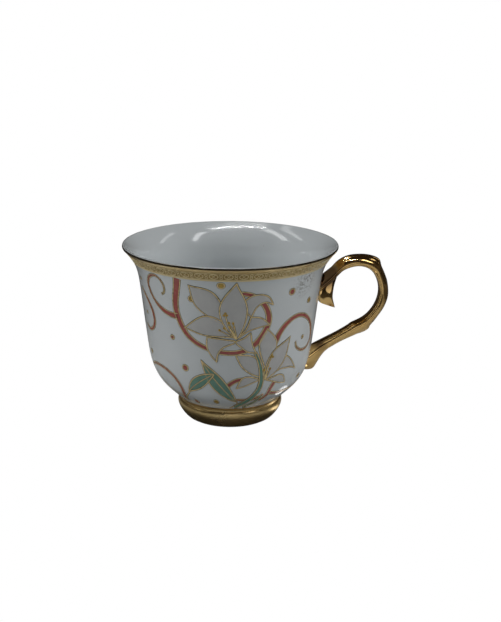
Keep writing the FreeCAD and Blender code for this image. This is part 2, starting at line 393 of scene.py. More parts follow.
# Handle -----------------------------------------------------
# Cast porcelain under bright liquid gold: an oval loop with a flat raised ridge over the thumb
# side, a crest where the ridge ends, a knuckle below, and a curled leaf against the finger side.

# Sections round the loop: finger side, outer side (both as distance from the axis and height), width
# of the section, and half width of the ridge as a share of half the section's width
handle_stations = [
    (37.0, 52.6, 37.3, 59.2, 8.8, 0.00),
    (40.2, 55.2, 40.2, 61.6, 8.3, 0.00),
    (43.4, 57.6, 43.2, 64.2, 7.7, 0.10),
    (45.8, 60.3, 45.9, 66.8, 7.4, 0.34),
    (48.2, 62.6, 48.6, 68.5, 7.3, 0.42),
    (51.2, 63.9, 51.4, 69.4, 7.3, 0.46),
    (54.6, 64.5, 54.6, 69.7, 7.3, 0.46),
    (57.6, 64.1, 58.0, 69.6, 7.2, 0.48),
    (60.2, 62.9, 61.0, 69.0, 7.0, 0.54),
    (62.0, 61.2, 63.3, 68.1, 6.8, 0.62),
    (63.1, 59.4, 64.6, 66.9, 6.7, 0.64),
    (63.9, 57.6, 65.3, 64.6, 6.6, 0.50),
    (64.5, 55.4, 66.8, 61.4, 6.5, 0.36),
    (64.7, 53.0, 68.2, 57.8, 6.5, 0.20),
    (64.4, 50.6, 68.9, 54.2, 6.5, 0.04),
    (63.6, 48.1, 68.8, 50.2, 6.5, 0.00),
    (62.3, 45.6, 67.5, 46.3, 6.5, 0.00),
    (60.6, 43.4, 65.6, 42.9, 6.5, 0.10),
    (58.5, 41.6, 63.5, 40.0, 6.6, 0.30),
    (56.4, 40.4, 61.7, 37.9, 6.8, 0.52),
    (54.6, 39.7, 60.7, 36.1, 6.8, 0.56),
    (53.0, 39.0, 58.6, 34.8, 6.6, 0.30),
    (51.5, 37.9, 55.6, 33.7, 6.4, 0.10),
    (49.4, 36.6, 52.4, 32.5, 6.3, 0.00),
    (46.2, 34.8, 48.8, 30.9, 6.4, 0.00),
    (42.8, 33.1, 45.6, 29.2, 6.7, 0.00),
    (39.6, 31.5, 42.4, 27.2, 7.2, 0.00),
    (36.8, 30.1, 40.2, 24.8, 7.8, 0.00),
    (34.6, 28.9, 38.4, 21.8, 8.2, 0.00),
    (33.4, 28.2, 36.6, 19.0, 8.3, 0.00),
    (32.8, 27.6, 34.2, 18.3, 8.2, 0.00),
    (32.5, 27.0, 31.6, 18.7, 8.0, 0.00),
]
ridge_rise = 0.19
ridge_edge = 0.10
ridge_full = 0.3
ridge_least = 0.01
handle_roundness = 2.05
handle_taper = 0.26
handle_around = 48
handle_steps = 6

# The leaf under the upper root: wall side, outer side, width
leaf_stations = [
    (39.0, 58.6, 45.8, 59.8, 4.4),
    (38.0, 56.0, 44.9, 56.8, 5.2),
    (37.6, 53.6, 44.4, 54.0, 6.2),
    (37.6, 51.6, 44.2, 51.6, 6.8),
    (37.9, 50.2, 44.4, 50.0, 6.6),
    (38.6, 49.0, 44.8, 48.6, 5.8),
    (41.0, 47.9, 45.2, 47.3, 4.0),
    (44.2, 46.6, 45.5, 46.2, 1.2),
]
leaf_roundness = 3.0
leaf_vein = 0.66
leaf_steps = 5


def eased(before, first, second, after, t):
    """A share t of the way from first to second, on the smooth curve through all four."""
    return 0.5 * (2 * first + (second - before) * t
                  + (2 * before - 5 * first + 4 * second - after) * t * t
                  + (3 * first - before - 3 * second + after) * t**3)


def eased_rows(rows, steps):
    """The rows with steps more between each pair, on smooth curves through every column."""
    rows = np.array(rows, float)
    padded = np.vstack([2 * rows[0] - rows[1], rows, 2 * rows[-1] - rows[-2]])
    out = []
    for i in range(1, len(padded) - 2):
        out += [eased(*padded[i - 1:i + 3], k / steps) for k in range(steps)]
    out.append(rows[-1])
    return np.array(out)


def between_rings(rings, size, closed):
    """Faces from each closed ring of points to the next, and from the last to the first if closed."""
    faces = []
    for i in range(rings if closed else rings - 1):
        here, there = i * size, ((i + 1) % rings) * size
        for k in range(size):
            n = (k + 1) % size
            faces.append((here + k, here + n, there + n, there + k))
    return faces


def skin_rings(rings):
    """Points and faces of a tube through closed rings of equal length, capped at both ends."""
    count = len(rings[0])
    points = [p for ring in rings for p in ring]
    faces = between_rings(len(rings), count, False)
    faces.append(tuple(range(count - 1, -1, -1)))
    last = (len(rings) - 1) * count
    faces.append(tuple(last + k for k in range(count)))
    return points, faces


def bulged(value, power):
    return math.copysign(abs(value) ** (2 / power), value)


def ring_of(row, roundness, shaped):
    """One closed section. Shaped moves a point of it outwards and sideways, as shares of its half sizes."""
    inner = np.array(row[0:2])
    outer = np.array(row[2:4])
    middle, reach = (inner + outer) / 2, (outer - inner) / 2
    ring = []
    for k in range(handle_around):
        a = 2 * math.pi * k / handle_around
        out, side = shaped(bulged(math.cos(a), roundness), bulged(math.sin(a), roundness), row)
        place = middle + reach * out
        ring.append((place[0] * MM, side * row[4] / 2 * MM, place[1] * MM))
    return ring


def ridged(out, side, row):
    """The loop's section: narrower on its outer side, where the ridge stands above its shoulders."""
    ridge = row[5]
    if out > 0 and ridge > ridge_least:
        on_ridge = min(max((ridge - abs(side)) / ridge_edge + 0.5, 0.0), 1.0)
        on_ridge = on_ridge * on_ridge * (3 - 2 * on_ridge)
        out *= 1 - ridge_rise * min(ridge / ridge_full, 1.0) * (1 - on_ridge)
    return out, side * ((1 - handle_taper * out) / (1 + handle_taper / 8))


def veined(out, side, row):
    """The leaf's section: square shouldered, and drawn in along its middle."""
    return out, side * (leaf_vein + (1 - leaf_vein) * abs(out) ** 1.5)


bright_gold, bright_tree, bright_shader = fired_material(
    "bright_gold", (0.88, 0.60, 0.25), (0.80, 0.50, 0.18), (0.45, 0.30, 0.12),
    cloud_scale=90.0, grain_scale=1200.0, grain=0.08, specks=0.2, smooth=0.06, dull=0.11,
    metallic=1.0, level=0.025, level_depth=0.0002)
# Painted shade: the gold is coloured dark brown round the two joints, where the handle meets the bowl
upper_joint_shade = ((0.0405, -0.003, 0.0612), 0.0045, 0.0095, (0.16, 0.095, 0.045))
lower_joint_shade = ((0.0385, -0.003, 0.0310), 0.0012, 0.0042, (0.24, 0.14, 0.06))
for spot, brown_reach, gold_again, brown in (upper_joint_shade, lower_joint_shade):
    painted_shade = ranged(bright_tree, away_from(bright_tree, spot), brown_reach, gold_again, 1.0, 0.0)
    repaint(bright_tree, bright_shader, painted_shade, brown)
loop_rings = [ring_of(row, handle_roundness, ridged) for row in eased_rows(handle_stations, handle_steps)]
leaf_rings = [ring_of(row, leaf_roundness, veined) for row in eased_rows(leaf_stations, leaf_steps)]
points, faces = skin_rings(loop_rings)
leaf_points, leaf_faces = skin_rings(leaf_rings)
shift = len(points)
points += leaf_points
faces += [tuple(i + shift for i in face) for face in leaf_faces]
handle = build("handle_gilded", points, faces, bright_gold, "bright_gold")
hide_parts("handle")

# Slip joints ------------------------------------------------
# The beads of slip that stuck the handle on, smoothed by hand and gilded with it.

for node in ("upper_handle_joint", "lower_handle_joint"):
    dress(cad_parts[node], bright_gold)

# Lip and foot gold ------------------------------------------
# Liquid gold banded on with a brush on the turning wheel, so fine rings run round it. The lip is
# bright, with a dark line painted over the crown as a painted reflection of the dark room; the foot is a
# softer satin.

painted_reflection_height = 0.0749
painted_reflection_edge = 0.0002
brush_rings = 3500.0
brush_depth = 0.0001

lip_gold, lip_tree, lip_shader = fired_material(
    "lip_gold", (0.96, 0.73, 0.36), (0.86, 0.63, 0.28), (0.75, 0.74, 0.70),
    cloud_scale=120.0, grain=0.2, specks=0.3, smooth=0.16, dull=0.26, metallic=0.7)
# Painted reflection: the lip gold above this height is coloured near black, for the dark room it mirrors
painted_dark_reflection = ranged(lip_tree, height_of(lip_tree), painted_reflection_height, painted_reflection_height + painted_reflection_edge)
repaint(lip_tree, lip_shader, painted_dark_reflection, (0.075, 0.055, 0.032))
turned_rings(lip_tree, lip_shader, brush_rings, 0.15, brush_depth)
dress(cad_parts["lip_gilding"], lip_gold)

satin_gold, satin_tree, satin_shader = fired_material(
    "satin_gold", (0.76, 0.57, 0.28), (0.64, 0.46, 0.20), (0.36, 0.26, 0.12),
    cloud_scale=80.0, grain=0.3, specks=0.5, smooth=0.26, dull=0.38, metallic=1.0, level=0.2)
turned_rings(satin_tree, satin_shader, brush_rings, 0.35, brush_depth)
dress(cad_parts["foot_gilding"], satin_gold)

# Rim band ---------------------------------------------------
# A relief transfer of satin gold under the lip, standing proud of a darker ground: a row of ovals
# with two arcs in each and a pair of small rings between them, held between plain lines. Near the
# handle it is pale grey in specks.

band_low = 69.8
band_high = 73.8
band_ground = 0.03
plait_low = 70.75
plait_high = 73.35
plait_repeats = 46
strand_width = 0.36
strand_rise = 0.09
sunk = 0.02
sill_gap = 0.35
sill_rise = 0.05
line_across = 0.2
line_gap_below = 0.12
line_gap_above = 0.1
oval_reach = 0.29
oval_width = 0.30
arc_width = 0.20
arc_near = 0.12
arc_bow = 0.62
arc_up = 0.62 * 1.1
ring_place = 0.56
ring_reach = (0.52, 0.50)
ring_width = 0.22
ring_rise = strand_rise + 0.02
band_pale_spot = wall_point(38.0, 71.8)
band_pale_reach = 0.020
band_radius = 42.0

band_ground_gold, ground_tree, ground_shader = fired_material(
    "band_ground_gold", (0.50, 0.34, 0.115), (0.36, 0.235, 0.075), (0.20, 0.14, 0.06),
    cloud_scale=150.0, grain_scale=4000.0, grain=0.4, specks=0.3, smooth=0.34, dull=0.46, metallic=0.35)
relief_gold, relief_tree, relief_shader = fired_material(
    "relief_gold", (0.99, 0.84, 0.50), (0.90, 0.74, 0.42), (0.30, 0.22, 0.10),
    cloud_scale=150.0, grain_scale=4000.0, grain=0.35, specks=0.4, smooth=0.30, dull=0.42, metallic=0.25)
for tree, shader in ((ground_tree, ground_shader), (relief_tree, relief_shader)):
    # Pale grey specks round a spot on the band near the handle
    pale_specks = marks_round(tree, band_pale_spot, band_pale_reach, 700.0, 0.50, 0.60)
    repaint(tree, shader, pale_specks, (0.66, 0.64, 0.58))


class Sheet:
    """Points and faces gathered for one mesh."""

    def __init__(self):
        self.points = []
        self.faces = []

    def add(self, points, faces):
        shift = len(self.points)
        self.points += points
        self.faces += [tuple(i + shift for i in face) for face in faces]

    def build(self, name, material, slot):
        return build(name, self.points, self.faces, material, slot)


ROUND_THREAD = ((-0.5, 0.0), (-0.42, 0.55), (-0.18, 0.95), (0.18, 0.95), (0.42, 0.55), (0.5, 0.0))
FLAT_STRIP = ((-0.5, 0.0), (-0.5, 0.8), (-0.38, 1.0), (0.0, 1.0), (0.38, 1.0), (0.5, 0.8), (0.5, 0.0))


def across_path(path, closed=False):
    """Which way is square to the path, at each of its points."""
    if closed:
        along = np.roll(path, -1, axis=0) - np.roll(path, 1, axis=0)
    else:
        along = np.gradient(path, axis=0)
    along = along / np.maximum(np.linalg.norm(along, axis=1), 1e-9)[:, None]
    return np.stack([-along[:, 1], along[:, 0]], axis=1)


def thread(path, widths, rise, base=0.0, section=ROUND_THREAD, closed=False):
    """A raised line of paste along a path on the wall, half sunk in the surface it lies on."""
    path = np.array(path, float)
    count = len(path)
    widths = np.broadcast_to(np.array(widths, float), (count,))
    base = np.broadcast_to(np.array(base, float), (count,))
    across = across_path(path, closed)
    size = len(section)
    points = []
    for i in range(count):
        for share, lift in section:
            place = path[i] - across[i] * share * widths[i]
            height = base[i] + rise * lift if lift > 0 else -sunk
            points.append(wall_point(place[0], place[1], height))
    faces = [(a, d, c, b) for a, b, c, d in between_rings(count, size, closed)]
    if not closed:
        faces.append(tuple(range(size)))
        faces.append(tuple((count - 1) * size + k for k in range(size - 1, -1, -1)))
    return points, faces


def hoop(low, high, lift, steps, turns=360):
    """A film right round the wall between two heights."""
    heights = np.linspace(low, high, steps + 1)
    outline = [(h, -sunk) for h in heights[::-1]] + [(h, lift) for h in heights]
    points = [wall_point(TURN * i / turns, height, out) for i in range(turns) for height, out in outline]
    return points, between_rings(turns, len(outline), True)


points, faces = hoop(band_low, band_high, band_ground, 8)
rim_ground = build("rim_band_ground", points, faces, band_ground_gold, "satin_gold")
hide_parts("rim_band")


def ring_path(height, count=720):
    return [(TURN * i / count, height) for i in range(count)]


def round_path(centre, across, up, count):
    path = []
    for k in range(count):
        a = 2 * math.pi * k / count
        path.append((centre[0] + across * math.cos(a), centre[1] + up * math.sin(a)))
    return path


relief = Sheet()
relief.add(*hoop(band_low + sunk, plait_low - sill_gap, band_ground + sill_rise, 3))
for height in (plait_low - line_gap_below, plait_high + line_gap_above):
    relief.add(*thread(ring_path(height), line_across, strand_rise, band_ground, closed=True))
repeat = TURN / plait_repeats
plait_middle = (plait_low + plait_high) / 2
plait_half = (plait_high - plait_low) / 2 - strand_width / 2
narrow = PAPER_RADIUS / band_radius
for i in range(plait_repeats):
    oval = round_path((repeat * i, plait_middle), oval_reach * repeat, plait_half, 20)
    relief.add(*thread(oval, oval_width, strand_rise, band_ground, closed=True))
    for side in (1, -1):
        arc = []
        for t in (-1.0, -0.6, 0.0, 0.6, 1.0):
            out = side * narrow * (arc_near + arc_bow * t * t)
            arc.append((repeat * i + out, plait_middle + arc_up * t * plait_half))
        relief.add(*thread(arc, arc_width, strand_rise, band_ground))
        centre = (repeat * (i + 0.5), plait_middle + side * ring_place * plait_half)
        ring = round_path(centre, ring_reach[0] * narrow, ring_reach[1] * plait_half, 12)
        relief.add(*thread(ring, ring_width, ring_rise, band_ground, closed=True))
relief.build("rim_band_relief", relief_gold, "satin_gold")

# Enamel transfer --------------------------------------------
# Opaque enamels screen-printed on a transfer, fired over the glaze so that each colour stands
# proud, with gold lines traced round it: a lily spray, leaves, red scrolls and dots.

enamel_lift = 0.05
layer_step = 0.035
line_width = 0.44
line_rise = 0.045
shade_margin = 0.17
shade_rise = 0.02
sample_step = 0.5
patch_grid = 0.9
rim_drop = 0.015
dot_flatness = 0.95
dot_sides = 18
filament_width = 0.32
style_width = 0.42
vein_width = 0.3


def smooth_line(points):
    """Even samples of a smooth curve through the points."""
    points = np.array(points, float)
    padded = np.vstack([2 * points[0] - points[1], points, 2 * points[-1] - points[-2]])
    out = []
    for i in range(1, len(padded) - 2):
        count = max(2, int(np.linalg.norm(padded[i + 1] - padded[i]) / sample_step))
        out += [eased(*padded[i - 1:i + 3], k / count) for k in range(count)]
    out.append(points[-1])
    return np.array(out)


def petal(base, tip, left, right, bend=0.0, fullest=0.55):
    """Outline of a petal or leaf: its widths either side of a bent middle line, ending in a point."""
    base, tip = np.array(base, float), np.array(tip, float)
    along = tip - base
    length = np.linalg.norm(along)
    normal = np.array([-along[1], along[0]]) / length
    count = max(10, int(length / sample_step))
    power = math.log(0.5) / math.log(fullest)
    sides = {1: [], -1: []}
    middle = []
    for i in range(count + 1):
        t = i / count
        centre = base + along * t + normal * (bend * 4 * t * (1 - t))
        full = math.sin(math.pi * t**power) if 0 < t < 1 else 0.0
        full **= 0.8 if t < fullest else 1.25
        sides[1].append(centre + normal * left * full)
        sides[-1].append(centre - normal * right * full)
        middle.append(centre)
    outline = sides[1] + sides[-1][::-1][1:-1]
    return np.array(outline), np.array(middle)


def holds(outline, point):
    """Whether a point is inside an outline."""
    x, y = point
    inside = False
    for a, b in zip(outline, np.roll(outline, -1, axis=0)):
        if (a[1] > y) != (b[1] > y) and x < (b[0] - a[0]) * (y - a[1]) / (b[1] - a[1]) + a[0]:
            inside = not inside
    return inside


def enamel_patch(outline, lift):
    """A raised patch of enamel: its top follows the wall, and its edge goes down into the glaze."""
    outline = np.array(outline, float)
    low, high = outline.min(axis=0), outline.max(axis=0)
    flat = [Vector(p) for p in outline]
    rim = len(flat)
    for x in np.arange(low[0] + patch_grid / 2, high[0], patch_grid):
        for y in np.arange(low[1] + patch_grid / 2, high[1], patch_grid):
            clear = np.min(np.linalg.norm(outline - (x, y), axis=1)) > patch_grid * 0.45
            if clear and holds(outline, (x, y)):
                flat.append(Vector((x, y)))
    verts, edges, faces, origins, _, _ = delaunay_2d_cdt(flat, [], [list(range(rim))], 1, 1e-5)
    on_rim = [bool(set(origin) & set(range(rim))) for origin in origins]
    count = len(verts)
    points = [wall_point(v.x, v.y, lift - (rim_drop if edge else 0.0)) for v, edge in zip(verts, on_rim)]
    points += [wall_point(v.x, v.y, -sunk) for v in verts]
    out = [tuple(face) for face in faces]
    out += [tuple(i + count for i in reversed(face)) for face in faces]
    used = {}
    for face in faces:
        for k in range(len(face)):
            a, b = face[k], face[(k + 1) % len(face)]
            used[(a, b)] = used.get((a, b), 0) + 1
    for a, b in used:
        if (b, a) not in used:
            out.append((b, a, a + count, b + count))
    return points, out


def beaded(path, width):
    """Widths of a traced gold line, which swells and thins as the paste was laid."""
    return [width * (1 + 0.14 * math.sin(2.1 * i) + 0.08 * math.sin(0.7 * i + 1)) for i in range(len(path))]


class Spray:
    """Everything printed on one side of the cup, gathered by colour."""

    def __init__(self, turned):
        self.turned = turned
        self.sheets = {}

    def sheet(self, colour):
        if colour not in self.sheets:
            self.sheets[colour] = Sheet()
        return self.sheets[colour]

    def shifted(self, path):
        return np.array(path, float) + (self.turned, 0.0)

    def patch(self, colour, outline, layer):
        self.sheet(colour).add(*enamel_patch(self.shifted(outline), enamel_lift + layer_step * layer))

    def trace(self, path, layer, width=line_width, closed=False):
        path = self.shifted(path)
        base = enamel_lift + layer_step * layer - 0.01
        self.sheet("gold_lines").add(*thread(path, beaded(path, width), line_rise, base, closed=closed))
        # Under each gold line, a wider dark sheet: painted shade along the line's edges
        self.sheet("line_shade").add(*thread(path, width + 2 * shade_margin, shade_rise, base, closed=closed))

    def outlined(self, colour, outline, layer):
        self.patch(colour, outline, layer)
        self.trace(outline, layer, closed=True)

    def scroll(self, colour, points, widths, layer, line=line_width):
        path = smooth_line(points)
        places = np.linspace(0, 1, len(widths))
        spread = np.interp(np.linspace(0, 1, len(path)), places, widths)
        base = enamel_lift + layer_step * layer
        self.sheet(colour).add(*thread(self.shifted(path), spread, base, 0.0, FLAT_STRIP))
        across = across_path(path)
        for side in (0.5, -0.5):
            self.trace(path + across * (spread * side)[:, None], layer, line)

    def dot(self, colour, place, radius):
        self.outlined(colour, round_path(place, radius, radius * dot_flatness, dot_sides), 0)


# Open petals of the two lilies: base, tip, width left of the middle line, width right, bend, fullest
# place, layer
large_lily = [
    ((-3.6, 49.5), (-19.6, 67.2), 4.1, 5.0, 0.0, 0.64, 3),
    ((-2.0, 46.2), (-22.9, 48.6), 3.8, 4.6, -2.8, 0.54, 4),
    ((-1.9, 45.4), (-2.2, 69.2), 5.1, 5.1, 1.2, 0.50, 6),
]
# Petals that fold over, as smooth edges that meet at corners, and their layer
large_lily_folded = [
    ([[(0.2, 60.8), (3.4, 63.2), (7.2, 63.6), (10.2, 62.2), (12.1, 58.9)],
      [(12.1, 58.9), (8.8, 60.3), (5.6, 58.6), (3.6, 54.6)], [(3.6, 54.6), (1.2, 57.0), (0.2, 60.8)]], 3),
    ([[(-1.8, 45.8), (1.6, 49.4), (3.5, 54.5)], [(3.5, 54.5), (7.6, 53.7), (11.2, 50.6)],
      [(11.2, 50.6), (6.4, 49.8), (2.0, 48.2), (-1.8, 45.4)]], 4),
    ([[(-2.2, 44.4), (0.8, 45.6), (3.6, 47.8)], [(3.6, 47.8), (4.0, 44.6), (4.8, 41.6), (6.2, 38.9)],
      [(6.2, 38.9), (2.6, 39.7), (0.2, 41.6), (-2.2, 43.6)]], 4),
    ([[(-2.4, 44.6), (-8.0, 45.3), (-13.4, 45.9)],
      [(-13.4, 45.9), (-13.6, 41.8), (-12.2, 38.4), (-9.8, 35.3)],
      [(-9.8, 35.3), (-9.3, 38.6), (-7.2, 41.6), (-2.4, 43.8)]], 5),
]
small_lily = [
    ((11.0, 29.5), (10.3, 49.0), 3.9, 3.9, -0.7, 0.62, 1),
    ((12.0, 26.8), (27.7, 28.0), 2.8, 2.6, 5.2, 0.55, 1),
    ((11.4, 26.2), (22.7, 22.8), 3.0, 0.7, 0.4, 0.62, 2),
    ((8.6, 28.0), (-2.3, 38.6), 1.9, 4.6, 0.2, 0.52, 1),
    ((8.7, 26.8), (-1.6, 23.2), 0.6, 3.4, -0.4, 0.58, 2),
    ((10.8, 26.4), (21.8, 43.6), 4.2, 3.5, 0.0, 0.50, 3),
]
leaves = [
    ((-1.3, 15.8), (-16.4, 35.6), 3.3, 2.7, 0.6, 0.50, 3),
    ((-11.2, 29.8), (-25.0, 19.4), 2.5, 2.6, -0.6, 0.50, 4),
]
stem = [(5.8, 39.2), (7.4, 35.6), (8.6, 31.6), (9.2, 27.4), (9.2, 24.0), (8.3, 20.8), (6.2, 17.6),
        (3.2, 14.8), (-1.6, 11.6)]
stem_widths = [0.9, 1.2, 1.5, 1.8, 2.1, 2.3, 2.5, 2.4, 2.0]
side_stem = [(11.4, 18.2), (9.2, 14.6), (6.6, 12.8), (3.6, 11.2)]
side_stem_widths = [1.2, 1.4, 1.3]

# Red scrolls: middle line, widths along it, and the width of its gold line
scrolls = [
    ([(-23.6, 69.6), (-24.9, 65.0), (-25.9, 60.5), (-26.1, 56.5), (-25.4, 53.0), (-24.0, 49.5), (-21.8, 46.0),
      (-18.5, 43.2), (-14.4, 41.2), (-10.4, 40.0), (-6.4, 39.4), (-2.2, 39.4), (2.0, 40.4), (5.6, 42.8),
      (8.2, 46.0), (10.0, 49.4), (10.7, 53.0), (9.9, 56.6), (8.2, 59.6), (5.6, 62.2), (2.6, 63.9),
      (-1.8, 64.8)],
     [2.6, 2.5, 2.2, 1.7, 1.6, 1.8, 2.2, 2.2, 1.8, 1.4], 0.38),
    ([(-25.6, 53.0), (-28.9, 53.2), (-32.7, 54.2), (-36.8, 56.6), (-39.8, 60.0), (-40.9, 63.6), (-39.2, 66.6),
      (-36.2, 68.4), (-33.6, 68.6), (-31.6, 66.6), (-30.9, 64.0), (-31.4, 62.0), (-32.8, 61.0)],
     [2.4, 1.9, 1.4, 1.0, 1.0, 1.1, 1.0, 0.8, 0.6, 0.5], 0.32),
    ([(-49.4, 60.2), (-46.2, 58.2), (-42.6, 55.0), (-40.3, 51.4), (-39.9, 47.4), (-41.8, 44.4), (-45.2, 43.0),
      (-48.6, 44.4)],
     [0.6, 1.0, 1.3, 1.5, 1.3, 1.0, 0.7], 0.32),
    ([(-51.0, 25.6), (-46.6, 27.4), (-42.0, 28.2), (-36.6, 27.8), (-32.2, 26.0), (-29.4, 22.8), (-28.8, 19.2),
      (-30.2, 15.8), (-32.4, 12.8)],
     [0.6, 0.9, 1.1, 1.2, 1.5, 1.7, 1.6], 0.32),
    ([(14.0, 41.8), (16.0, 46.0), (18.4, 49.0), (21.8, 51.2), (25.6, 51.9), (30.2, 50.6), (35.0, 47.0),
      (38.2, 42.2), (38.6, 38.2), (35.4, 35.6), (30.4, 35.6), (26.6, 37.8), (25.4, 40.6)],
     [2.4, 2.2, 1.8, 1.5, 1.4, 1.3, 1.2, 1.0, 0.8, 0.6], 0.32),
    ([(16.4, 25.0), (15.0, 21.6), (14.2, 17.8), (11.4, 15.2)], [1.6, 2.0, 1.8, 1.2], 0.32),
    ([(15.2, 18.9), (20.6, 18.0), (26.0, 17.8), (33.6, 18.2), (39.4, 20.2), (44.0, 23.4)],
     [1.6, 1.2, 0.9, 0.8, 0.7, 0.6], 0.32),
    ([(-6.6, 21.8), (-5.6, 24.0), (-3.8, 25.8), (-1.0, 27.2), (2.6, 27.6)], [1.4, 1.8, 1.6, 1.0], 0.32),
    ([(-1.8, 17.0), (2.4, 16.6), (6.4, 16.4), (9.4, 17.4), (12.2, 18.8)], [0.9, 1.2, 1.2, 1.0], 0.32),
]
# Gold lines with no colour in them: the line and its width
thin_lines = [
    ([(-44.2, 21.6), (-39.0, 18.2), (-34.8, 16.2), (-30.8, 15.6)], 0.34),
    ([(-11.2, 30.0), (-13.2, 25.6)], 0.4),
    ([(-24.8, 19.0), (-28.6, 16.0), (-31.6, 13.6)], 0.5),
    ([(-1.4, 16.2), (-0.6, 14.2), (-4.4, 10.8)], 0.5),
]
# Dots: place and radius
gold_dots = [
    (-7.6, 68.0, 1.25), (-19.0, 61.4, 1.15), (-11.6, 15.4, 1.2), (31.6, 57.0, 1.0), (30.2, 41.4, 0.7),
    (-47.6, 32.4, 0.9), (33.4, 23.0, 1.0), (-46.2, 50.0, 0.5), (-48.0, 64.0, 0.6),
]
red_dots = [(-29.2, 43.4, 0.9), (-24.0, 31.0, 1.35), (20.2, 63.0, 1.3), (-24.2, 13.6, 1.2)]

# Tips of the stamens, and the line of the style, which ends in a three-lobed stigma
large_throat = (-1.9, 45.4)
large_stamens = [(-8.0, 48.8), (-6.3, 49.6), (-4.5, 50.0), (-2.8, 50.0), (-4.6, 51.8), (-3.2, 51.6)]
large_style = [(-2.2, 46.0), (-3.6, 48.0), (-5.1, 51.0), (-6.2, 55.4)]
small_throat = (11.0, 26.6)
small_stamens = [(12.7, 30.6), (11.7, 31.8), (11.5, 29.4), (10.2, 30.4)]
small_style = [(11.0, 27.6), (11.4, 31.0), (12.2, 34.2), (13.2, 36.2)]


def stigma_lobe(middle, turn):
    """One of the three round lobes at the end of a style."""
    a = math.radians(turn)
    return round_path((middle[0] + 0.6 * math.cos(a), middle[1] + 0.4 + 0.55 * math.sin(a)), 0.52, 0.5, 8)


def paint_flower(spray, petals, folded, throat, stamens, style, layer):
    throat = np.array(throat)
    for edges, level in folded:
        outline = np.vstack([smooth_line(edge)[:-1] for edge in edges])
        spray.outlined("petals", outline, level)
    for base, tip, left, right, bend, fullest, level in petals:
        spray.outlined("petals", petal(base, tip, left, right, bend, fullest)[0], level)
    for tip in np.array(stamens):
        bowed = (throat + tip) / 2 + (0.2, 0.0)
        spray.trace(smooth_line([throat, bowed, tip]), layer, filament_width)
        lean = (tip - throat) / np.linalg.norm(tip - throat)
        anther = petal(tip - lean * 0.2, tip + lean * 1.1 + (0.0, 0.2), 0.46, 0.46)[0]
        spray.patch("ochre", anther, layer + 1)
    spray.trace(smooth_line(style), layer, style_width)
    for turn in (90, 210, 330):
        spray.patch("ochre", stigma_lobe(style[-1], turn), layer + 1)


def paint_side(turned):
    spray = Spray(turned)
    for points, widths, line in scrolls:
        spray.scroll("red", points, widths, 0, line)
    for points, width in thin_lines:
        spray.trace(smooth_line(points), 0, width)
    spray.scroll("green", side_stem, side_stem_widths, 1, 0.3)
    paint_flower(spray, small_lily, [], small_throat, small_stamens, small_style, 4)
    spray.scroll("green", stem, stem_widths, 3, 0.36)
    for base, tip, left, right, bend, fullest, level in leaves:
        outline, middle = petal(base, tip, left, right, bend, fullest)
        spray.outlined("green", outline, level)
        spray.trace(middle[2:-2], level, vein_width)
    paint_flower(spray, large_lily, large_lily_folded, large_throat, large_stamens, large_style, 7)
    for colour, dots in (("ochre", gold_dots), ("red", red_dots)):
        for x, y, radius in dots:
            spray.dot(colour, (x, y), radius)
    return spray


def enamel(name, colour, deep, speck, cloud_scale=200.0, grain_scale=3500.0, grain=0.4, **finish):
    """One printed colour, cloudy and grainy as fired enamel is."""
    return fired_material(name, colour, deep, speck, cloud_scale, grain_scale, grain, **finish)[0]


enamels = {
    "petals": enamel("petal_enamel", (0.65, 0.64, 0.62), (0.57, 0.56, 0.55), (0.30, 0.29, 0.27),
                     grain=0.5, specks=0.3, smooth=0.30, dull=0.42, coat=0.3, coat_roughness=0.1),
    "red": enamel("red_enamel", (0.48, 0.105, 0.08), (0.40, 0.08, 0.062), (0.25, 0.05, 0.04),
                  specks=0.3, smooth=0.24, dull=0.36, coat=0.4, coat_roughness=0.06),
    "green": enamel("green_enamel", (0.17, 0.34, 0.255), (0.13, 0.28, 0.21), (0.06, 0.12, 0.09),
                    specks=0.3, smooth=0.24, dull=0.36, coat=0.4, coat_roughness=0.06),
    "ochre": enamel("ochre_enamel", (0.64, 0.42, 0.09), (0.54, 0.34, 0.07), (0.30, 0.20, 0.06),
                    specks=0.3, smooth=0.3, dull=0.45, metallic=0.5),
    "gold_lines": enamel("line_gold", (1.0, 0.79, 0.40), (0.90, 0.67, 0.31), (0.20, 0.14, 0.07),
                         cloud_scale=300.0, grain_scale=4500.0, grain=0.3, specks=0.4, smooth=0.24,
                         dull=0.36, metallic=0.5),
    # Painted shade: a near-black film standing in for the shade along the edges of the raised gold lines
    "line_shade": enamel("painted_line_shade", (0.13, 0.12, 0.10), (0.10, 0.09, 0.075), (0.08, 0.07, 0.05),
                         cloud_scale=300.0, grain_scale=4500.0, specks=0.2, smooth=0.3, dull=0.4),
}

for side, turned in (("front", 0.0), ("back", TURN / 2)):
    spray = paint_side(turned)
    for colour, sheet in spray.sheets.items():
        piece = sheet.build(side + "_" + colour, enamels[colour], "enamel")
        if colour == "gold_lines":
            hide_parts(side + "_transfer")

# Table, light and camera ------------------------------------
# A plain white table in a white studio. The gloss sees a dim room instead, with soft panes and a
# strip of small lamps in it, and on the table a painted pool of light and a painted shadow of the foot. From
# below the table is clear.

table_half = 3.0
table = bpy.data.meshes.new("table")
table.from_pydata([(-table_half, -table_half, 0), (table_half, -table_half, 0),
                   (table_half, table_half, 0), (-table_half, table_half, 0)], [], [(0, 1, 2, 3)])
floor = put("table", table)

WHITE = (1.0, 1.0, 1.0)


def plain(tree, kind, colour):
    """A diffuse, emission or background shader of one colour."""
    node = tree.nodes.new(kind)
    feed(tree, colour, node.inputs["Color"])
    return node


def either(tree, chooser, first, second):
    """The first shader, or the second where the chooser is one."""
    node = tree.nodes.new("ShaderNodeMixShader")
    for slot, value in enumerate((chooser, first.outputs[0], second.outputs[0])):
        tree.links.new(value, node.inputs[slot])
    return node
